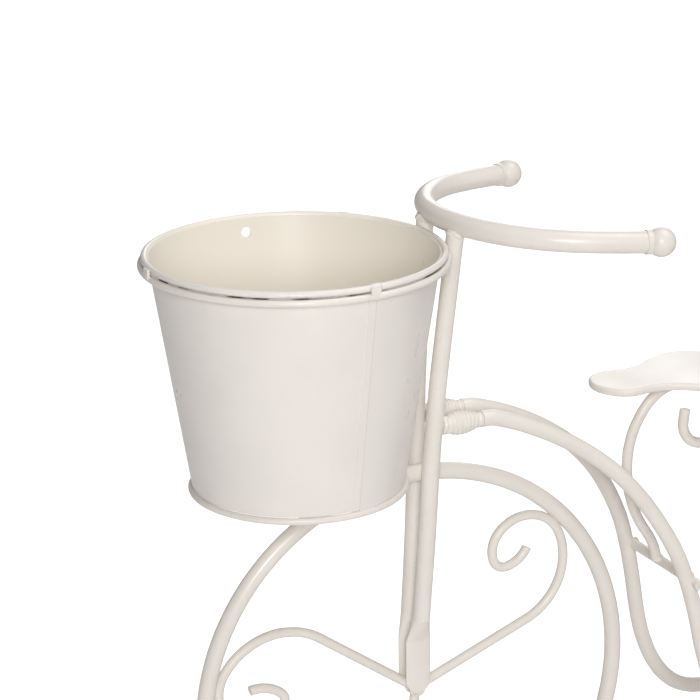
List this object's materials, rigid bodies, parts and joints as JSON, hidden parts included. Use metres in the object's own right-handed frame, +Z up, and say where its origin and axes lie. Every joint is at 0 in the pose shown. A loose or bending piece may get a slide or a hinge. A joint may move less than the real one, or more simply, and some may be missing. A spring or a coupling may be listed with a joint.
{
  "type": "plant stand",
  "caption": "Bicycle-shaped wire plant stand with scroll-spoked wheels, a flat saddle, a curved handlebar and lift-out tapered pots held in hoops.",
  "frame": {"origin": "on the floor, under the centre of the object's bounding box", "axes": "+X to the rear, away from the front pot; +Y to the side that the picture doesn't face; +Z up"},
  "size_m": [0.6133, 0.23, 0.463],
  "materials": {
    "frame_paint": "gloss cream enamel",
    "pot_paint": "gloss cream enamel on rolled sheet"
  },
  "bodies": {
    "stand": {"crossbar": "frame_paint", "fork_leg_far": "frame_paint", "fork_leg_near": "frame_paint", "frame_core_far": "frame_paint", "frame_core_near": "frame_paint", "frame_tube_far": "frame_paint", "frame_tube_near": "frame_paint", "frame_winding_far": "frame_paint", "frame_winding_near": "frame_paint", "front_hub_slug": "frame_paint", "front_pot_foot_ring": "frame_paint", "front_pot_hoop": "frame_paint", "front_pot_hoop_lug_1": "frame_paint", "front_pot_hoop_lug_2": "frame_paint", "front_pot_hoop_lug_3": "frame_paint", "front_wheel_rim": "frame_paint", "front_wheel_scroll_1": "frame_paint", "front_wheel_scroll_2": "frame_paint", "front_wheel_scroll_3": "frame_paint", "handlebar": "frame_paint", "handlebar_ball_far": "frame_paint", "handlebar_ball_near": "frame_paint", "rear_axle": "frame_paint", "rear_axle_cap_far": "frame_paint", "rear_axle_cap_near": "frame_paint", "rear_pot_foot_ring": "frame_paint", "rear_pot_hoop": "frame_paint", "rear_pot_hoop_lug_1": "frame_paint", "rear_pot_hoop_lug_2": "frame_paint", "rear_pot_hoop_lug_3": "frame_paint", "rear_pot_post_far": "frame_paint", "rear_pot_post_near": "frame_paint", "rear_wheel_rim_far": "frame_paint", "rear_wheel_rim_near": "frame_paint", "rear_wheel_scroll_far_1": "frame_paint", "rear_wheel_scroll_far_2": "frame_paint", "rear_wheel_scroll_far_3": "frame_paint", "rear_wheel_scroll_near_1": "frame_paint", "rear_wheel_scroll_near_2": "frame_paint", "rear_wheel_scroll_near_3": "frame_paint", "rear_wheel_sleeve_far": "frame_paint", "rear_wheel_sleeve_near": "frame_paint", "saddle": "frame_paint", "seat_scroll": "frame_paint"},
    "front_pot": {"front_pot_wall": "pot_paint", "front_pot_floor": "pot_paint"},
    "rear_pot": {"rear_pot_wall": "pot_paint", "rear_pot_floor": "pot_paint"}
  },
  "joints": [
    {"name": "front_pot_lift", "type": "slide", "parent": "stand", "child": "front_pot", "axis": [-0.1678, 0, 0.9858], "range_m": [0, 0.17]},
    {"name": "rear_pot_lift", "type": "slide", "parent": "stand", "child": "rear_pot", "axis": [0, 0, 1], "range_m": [0, 0.17]}
  ]
}
